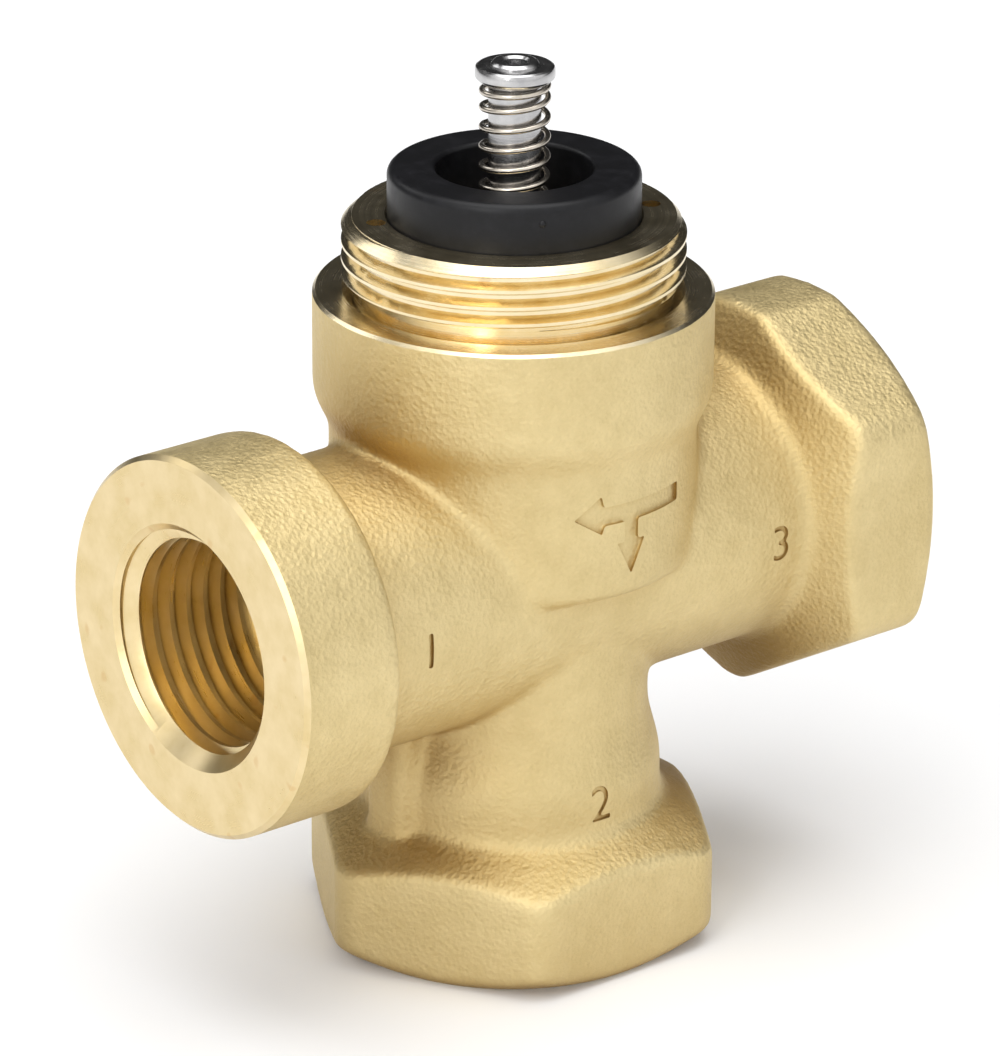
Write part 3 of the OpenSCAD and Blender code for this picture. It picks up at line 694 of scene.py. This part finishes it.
def soften_inner_corners(piece, depth, passes, spared):
    """Round the forging's inner corners, which are where an even smoothing would raise the surface."""
    sharp = points_of(piece)
    normals = np.array([vertex.normal for vertex in piece.data.vertices])
    smooth_all(piece, 10)
    raised = ((points_of(piece) - sharp) * normals).sum(axis=1) > depth * MM
    for vertex, place, corner in zip(piece.data.vertices, sharp, raised):
        vertex.co = place
        vertex.select = bool(corner) and not spared(*place / MM)
    pick(piece)
    bpy.ops.object.mode_set(mode="EDIT")
    bpy.ops.mesh.select_mode(type="VERT")
    bpy.ops.mesh.select_more()
    bpy.ops.mesh.vertices_smooth(factor=0.5, repeat=passes)
    done()


def below_barrel(x, y, z):
    """The barrel's lower edge stays crisp, except where it runs out towards port A."""
    return AXIS_H - 1.2 < z < BARREL_LOW + 1.6 and x > -7.5


def valve_body():
    forms = [barrel_form(), port_a_form(), port_ab_form(), *port_b_forms(), web_form()]
    pick(*forms)
    bpy.ops.object.join()
    body = bpy.context.object
    body.name = "body_forging"
    remesh = body.modifiers.new("remesh", "REMESH")
    remesh.mode = "VOXEL"
    remesh.voxel_size = CAST_GRID * MM
    remesh.use_smooth_shade = True
    bpy.ops.object.modifier_apply(modifier=remesh.name)
    smooth_all(body, 2)
    soften_inner_corners(body, 0.03, 12, below_barrel)
    thin = body.modifiers.new("thin", "DECIMATE")
    thin.ratio = min(1.0, CAST_FACES / (2 * len(body.data.polygons)))
    pick(body)
    bpy.ops.object.modifier_apply(modifier=thin.name)
    give(body, BLASTED_PAINTED_SHADE, CUT_X, CUT_Z)
    stamp_marks(body)
    cut(body, port_tool("tool_a", "A", HALF_LENGTH, FLANGE_R, 0.45))
    root, meet = HALF_LENGTH - PORT_DEPTH, 0.01
    cut(body, taper("taper_a", WAY_A_R, WAY_ROOT_R, root - TAPER_A, root + meet, "A"))
    cut(body, kidney_way())
    cut(body, port_tool("tool_ab", "AB", HALF_LENGTH))
    cut(body, taper("taper_ab", WAY_AB_R, WAY_ROOT_R, root - TAPER_AB, root + meet, "AB"))
    way = rod("way_ab", WAY_AB_R, SEAT_RIM_R + 0.6, root)
    way.rotation_euler = (0, radians(90), 0)
    way.location = (0, 0, (CHAMBER_FLOOR_Z + CAGE_SHOULDER_Z) / 2 * MM)
    cut(body, settle(way))
    cut(body, port_tool("tool_b", "B", AXIS_H))
    cut(body, lower_chamber_tool())
    cut(body, chamber_tool())
    mark_machined(body)
    smooth_by_angle(body, 35)
    return place_piece(body, "valve", "cast_brass", "valve_body")


def mark_machined(body):
    """Give the bright finish to the machined faces: port faces, bores, threads, collar top and chambers."""
    for face in body.data.polygons:
        x, y, z = (value / MM for value in face.center)
        from_straight = (y * y + (z - AXIS_H) ** 2) ** 0.5
        from_upright = (x * x + y * y) ** 0.5
        faces_in = x * face.normal.x + y * face.normal.y < 0.3
        slot = 0
        if abs(x) > HALF_LENGTH - PORT_DEPTH - 2.5 and from_straight < PORT_MAJOR_R + 0.1:
            slot = 1
        elif abs(x) > HALF_LENGTH - 0.9 and abs(face.normal.x) > 0.5:
            slot = 1
        elif z < 0.02 or (z < PORT_DEPTH + 3 and from_upright < PORT_MAJOR_R + 0.1):
            slot = 2
        elif z > COLLAR_TOP - 0.75 and face.normal.z > 0.3:
            slot = 2
        elif from_upright < SOCKET_R + SOCKET_MOUTH + 0.05 and z > AXIS_H and faces_in:
            slot = 2
        elif from_upright < CAGE_BORE_R:
            slot = 2
        face.material_index = slot


# ---------------------------------------------------------------------------
# Bonnet, gland and guide ring
# ---------------------------------------------------------------------------
def bonnet():
    low_edge = 0.5
    core = turned("bonnet_turned", [
        (3.55, BONNET_FOOT_Z), (GALLERY_R - 0.05, BONNET_FOOT_Z), (GALLERY_R - 0.05, 51.72),
        (10.5, 51.72), (10.5, 53.28), (GALLERY_R - 0.05, 53.28), (GALLERY_R - 0.05, SOCKET_Z),
        (14.0, SOCKET_Z), (14.0, COLLAR_TOP - low_edge), (RELIEF_R, COLLAR_TOP), (RELIEF_R, THREAD_LOW),
        (THREAD_ROOT_R, THREAD_LOW + 0.05), (THREAD_ROOT_R, BONNET_TOP - 0.02),
        (THREAD_ROOT_R - 0.02, BONNET_TOP),
        (RING_R + 0.2, BONNET_TOP), (RING_R + 0.05, BONNET_TOP - 0.15), (RING_R + 0.05, RING_LOW),
        (GLAND_THREAD_R + 0.05, RING_LOW), (GLAND_THREAD_R + 0.05, GLAND_LOW), (GLAND_BORE_R, GLAND_LOW),
        (GLAND_BORE_R, GLAND_WASHER_Z), (3.55, GLAND_WASHER_Z)])
    ridge = screw_ridge("ridge", THREAD_ROOT_R, THREAD_R + 0.05, THREAD_PITCH, THREAD_LOW - 1.6, 6,
                        0.30, 0.22)
    envelope = turned("envelope", [
        (13.0, THREAD_LOW), (THREAD_R - 0.6, THREAD_LOW), (THREAD_R, THREAD_LOW + 0.6),
        (THREAD_R, BONNET_TOP - BONNET_BEVEL), (THREAD_R - BONNET_BEVEL, BONNET_TOP), (13.0, BONNET_TOP)])
    ridge = combine(ridge, envelope, "INTERSECT")
    piece = combine(core, ridge, "UNION")
    for side in (0, 180):
        turn = radians(SPANNER_TURN + side)
        hole = rod("spanner_hole", SPANNER_HOLE_R, BONNET_TOP - SPANNER_DEPTH, BONNET_TOP + 1, 32)
        hole.location = (SPANNER_R * cos(turn) * MM, SPANNER_R * sin(turn) * MM, 0)
        piece = cut(piece, settle(hole))
    give(piece, CUT_Z)
    smooth_by_angle(piece, 30)
    return place_piece(piece, "valve", "machined_brass", "bonnet")


def guide_ring():
    """Moulded ring: rounded edges, and the small pip that the mould's gate leaves on its side."""
    edge, in_edge = 0.8, 0.4
    ring = turned("guide_ring_moulded", [(RING_BORE_R, RING_LOW), (RING_R, RING_LOW)]
                  + arc(RING_R - edge, RING_TOP - edge, edge, 0, 90)
                  + arc(RING_BORE_R + in_edge, RING_TOP - in_edge, in_edge, 90, 180))
    deselect_all()
    turn = radians(PIP_TURN)
    bpy.ops.mesh.primitive_uv_sphere_add(segments=24, ring_count=16, radius=PIP_R * MM, location=(
        PIP_OUT * cos(turn) * MM, PIP_OUT * sin(turn) * MM, PIP_Z * MM))
    combine(ring, settle(bpy.context.object), "UNION")
    give(ring, BLACK)
    smooth_by_angle(ring, 40)
    return place_piece(ring, "valve", "black_plastic", "guide_ring")


# ---------------------------------------------------------------------------
# Spindle, cap and spring
# ---------------------------------------------------------------------------
def spindle():
    foot_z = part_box("spindle")[0][2] / MM
    shoulder_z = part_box("plug_washer_upper")[1][2] / MM
    piece = turned("spindle_rod", [
        (0, foot_z), (SPINDLE_FOOT_R - 0.4, foot_z), (SPINDLE_FOOT_R, foot_z + 0.4),
        (SPINDLE_FOOT_R, shoulder_z), (SPINDLE_R - 0.15, shoulder_z), (SPINDLE_R, shoulder_z + 0.15),
        (SPINDLE_R, CAP_LOW), (SPINDLE_NECK_R, CAP_LOW), (SPINDLE_NECK_R, CAP_TOP), (TIP_R, CAP_TOP),
        (TIP_R, CAP_TOP + 0.12), (TIP_R - 0.22, TIP_TOP - 0.04), (TIP_R - 0.34, TIP_TOP),
        (TIP_R - 0.75, TIP_TOP - 0.03), (TIP_R - 1.0, TIP_TOP - 0.22), (0.35, TIP_TOP - 0.30),
        (0, TIP_TOP - 0.26)], 96)
    give(piece, STEEL)
    smooth_by_angle(piece, 30)
    return place_piece(piece, "spindle_group", "steel", "spindle")


def spindle_cap():
    piece = turned("spindle_cap_turned", [
        (SPINDLE_NECK_R + 0.05, CAP_LOW), (CAP_R - 0.4, CAP_LOW), (CAP_R - 0.03, CAP_LOW + 0.37),
        (CAP_R, CAP_LOW + 0.45), (CAP_R, CAP_TOP - 0.3), (CAP_R - 0.08, CAP_TOP - 0.12),
        (CAP_R - 0.28, CAP_TOP), (SPINDLE_NECK_R + 0.05, CAP_TOP)], 128)
    give(piece, STEEL)
    smooth_by_angle(piece, 30)
    return place_piece(piece, "spindle_group", "steel", "spindle_cap")


def spring_run(name, low, rise, turns, sides=64, wire_sides=14):
    """A run of wire with an even rise, from a round section carried round the axis."""
    section = [(SPRING_R + SPRING_WIRE_R * cos(2 * pi * i / wire_sides),
                low + SPRING_WIRE_R * sin(2 * pi * i / wire_sides)) for i in range(wire_sides)]
    run = outline(name, section)
    pick(run)
    screw = run.modifiers.new("screw", "SCREW")
    screw.axis = "Z"
    screw.angle = 2 * pi
    screw.screw_offset = rise * MM
    screw.iterations = turns
    screw.steps = screw.render_steps = sides
    screw.use_merge_vertices = True
    screw.merge_threshold = 1e-7
    bpy.ops.object.modifier_apply(modifier=screw.name)
    return run


def return_spring():
    """One wire: a close curl at each end and free curls between."""
    low = SPRING_LOW + SPRING_WIRE_R
    free_turns = SPRING_CURLS - 2
    free_rise = (CAP_LOW - SPRING_LOW - 2 * SPRING_WIRE_R - 2 * SPRING_END_RISE) / free_turns
    runs = [spring_run("spring_wire", low, SPRING_END_RISE, 1),
            spring_run("free", low + SPRING_END_RISE, free_rise, free_turns),
            spring_run("top", low + SPRING_END_RISE + free_turns * free_rise, SPRING_END_RISE, 1)]
    pick(*runs)
    bpy.ops.object.join()
    wire = bpy.context.object
    edit(wire)
    bpy.ops.mesh.remove_doubles(threshold=1e-6)
    bpy.ops.mesh.fill_holes(sides=0)
    bpy.ops.mesh.select_all(action="SELECT")
    bpy.ops.mesh.normals_make_consistent(inside=False)
    done()
    give(wire, SPRING_STEEL)
    smooth_by_angle(wire, 50)
    place_piece(wire, "valve", "spring_steel", "return_spring")
    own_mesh(wire)
    return wire


# ---------------------------------------------------------------------------
# Inner pieces keep their CAD shape and take a finish
# ---------------------------------------------------------------------------
INNER = {
    "seat_cage": CUT_Z, "cage_o_ring": RUBBER, "bonnet_o_ring": RUBBER, "guide_bush": WHITE,
    "gland_washer": STEEL, "stem_o_ring_lower": RUBBER, "o_ring_spacer": WHITE,
    "stem_o_ring_upper": RUBBER, "gland_nut": CUT_Z, "spring_seat": STEEL,
    "plug_washer_upper": STEEL, "plug_seal_upper": RUBBER, "plug_carrier": CUT_Z,
    "plug_seal_lower": RUBBER, "plug_washer_lower": STEEL, "plug_nut": STEEL,
}


def dress_inner_pieces():
    for name, material in INNER.items():
        node = frame["nodes"][name]
        if node.data.materials:
            node.data.materials[0] = material
        else:
            node.data.materials.append(material)


# ---------------------------------------------------------------------------
# Studio: camera, lights, floor
# ---------------------------------------------------------------------------
CAMERA_TURN, CAMERA_RISE, CAMERA_ROLL = -39.15, 22.03, 0.4      # degrees
CAMERA_DISTANCE, TARGET_Z = 0.52591, 0.03685                    # metres
LENS, SENSOR, SHIFT_X, SHIFT_Y = 202.91, 36, -0.01128, 0.0037
LAMPS = {       # place in metres, width and height in metres, watts
    "key": ((-0.50, -0.18, 0.50), 0.30, 0.30, 0.6),
    "strip": ((-0.56, -0.31, 0.30), 0.08, 0.40, 0.40),
    "rim": ((-0.22, 0.60, 0.50), 0.36, 0.30, 0.6),
    "overhead": ((0.0, 0.05, 1.1), 1.0, 1.0, 7.6),
}
LAMPS_AIM = (0, 0, 0.035)
FLOOR_SIZE, FLOOR_DROP, FLOOR_GLOW = 6, 0.0002, 0.02


def place_camera():
    azimuth, elevation, roll = radians(CAMERA_TURN), radians(CAMERA_RISE), radians(CAMERA_ROLL)
    distance, target = CAMERA_DISTANCE, Vector((0, 0, TARGET_Z))
    back = Vector((sin(azimuth) * cos(elevation), -cos(azimuth) * cos(elevation), sin(elevation)))
    level = Vector((cos(azimuth), sin(azimuth), 0))
    upright = back.cross(level)
    right = level * cos(roll) + upright * sin(roll)
    up = upright * cos(roll) - level * sin(roll)
    deselect_all()
    bpy.ops.object.camera_add()
    camera = bpy.context.object
    camera.name = "camera"
    turn = Matrix((right, up, back)).transposed().to_4x4()
    camera.matrix_world = Matrix.Translation(target + back * distance) @ turn
    camera.data.sensor_width = SENSOR
    camera.data.lens = LENS
    camera.data.shift_x, camera.data.shift_y = SHIFT_X, SHIFT_Y
    camera.data.clip_start, camera.data.clip_end = 0.02, 20
    bpy.context.scene.camera = camera


def softbox(name, place, towards, width, height, watts):
    deselect_all()
    bpy.ops.object.light_add(type="AREA", location=place)
    lamp = bpy.context.object
    lamp.name = name
    lamp.data.shape = "RECTANGLE"
    lamp.data.size, lamp.data.size_y = width, height
    lamp.data.energy = watts
    way = Vector(place) - Vector(towards)
    lamp.rotation_euler = way.to_track_quat("Z", "Y").to_euler()


def light_studio():
    """A dim room, brightest in front and to the left of the valve, with four lamps round it."""
    world = bpy.data.worlds.new("studio")
    bpy.context.scene.world = world
    world.use_nodes = True
    tree = world.node_tree
    way = tree.nodes.new("ShaderNodeTexCoord").outputs["Generated"]

    def glow(direction, low, high, dim, bright):
        """Brightness that goes from dim to bright as a ray turns towards a direction."""
        turn = tree.nodes.new("ShaderNodeVectorMath")
        turn.operation = "DOT_PRODUCT"
        turn.inputs[1].default_value = Vector(direction).normalized()
        tree.links.new(way, turn.inputs[0])
        ramp = tree.nodes.new("ShaderNodeMapRange")
        ramp.interpolation_type = "SMOOTHSTEP"
        for place, value in zip((1, 2, 3, 4), (low, high, dim, bright)):
            ramp.inputs[place].default_value = value
        tree.links.new(turn.outputs["Value"], ramp.inputs[0])
        return ramp.outputs[0]

    def join(operation, first, second):
        made = tree.nodes.new("ShaderNodeMath")
        made.operation = operation
        tree.links.new(first, made.inputs[0])
        tree.links.new(second, made.inputs[1])
        return made.outputs[0]

    front = glow((-0.45, -0.80, 0.40), -0.2, 0.60, 0.03, 1.15)
    left = glow((-0.9, 0.35, 0.2), 0.3, 0.95, 0.0, 0.15)
    level = join("ADD", front, left)
    tree.nodes["Background"].inputs["Color"].default_value = (1, 1, 1, 1)
    tree.links.new(level, tree.nodes["Background"].inputs["Strength"])
    for name, (place, width, height, watts) in LAMPS.items():
        softbox(name, place, LAMPS_AIM, width, height, watts)


def lay_floor():
    deselect_all()
    bpy.ops.mesh.primitive_grid_add(x_subdivisions=8, y_subdivisions=8, size=FLOOR_SIZE,
                                    location=(0, 0, -FLOOR_DROP))
    floor = settle(bpy.context.object)
    floor.name = "floor"
    f = Finish("pale_floor", Metallic=0.0, Roughness=0.75, Specular_IOR_Level=0.2)
    f.paint(Base_Color=rgb(0.86, 0.86, 0.865))
    path = f.tree.nodes.new("ShaderNodeLightPath")
    seen = Value(f, path.outputs["Is Camera Ray"]) + Value(f, path.outputs["Is Glossy Ray"]) \
        + Value(f, path.outputs["Is Transmission Ray"])
    glow = f.node("ShaderNodeEmission", {}, rgb(1, 1, 1), seen.clamped() * FLOOR_GLOW)
    both = f.node("ShaderNodeAddShader", {}, Value(f, f.shader.outputs[0]), glow)
    f.feed(f.tree.nodes["Material Output"].inputs["Surface"], both)
    give(floor, f.material)


place_camera()
light_studio()
lay_floor()
valve_body()
bonnet()
guide_ring()
spindle()
spindle_cap()
return_spring()
dress_inner_pieces()

scene = bpy.context.scene
scene.view_settings.view_transform = "Standard"
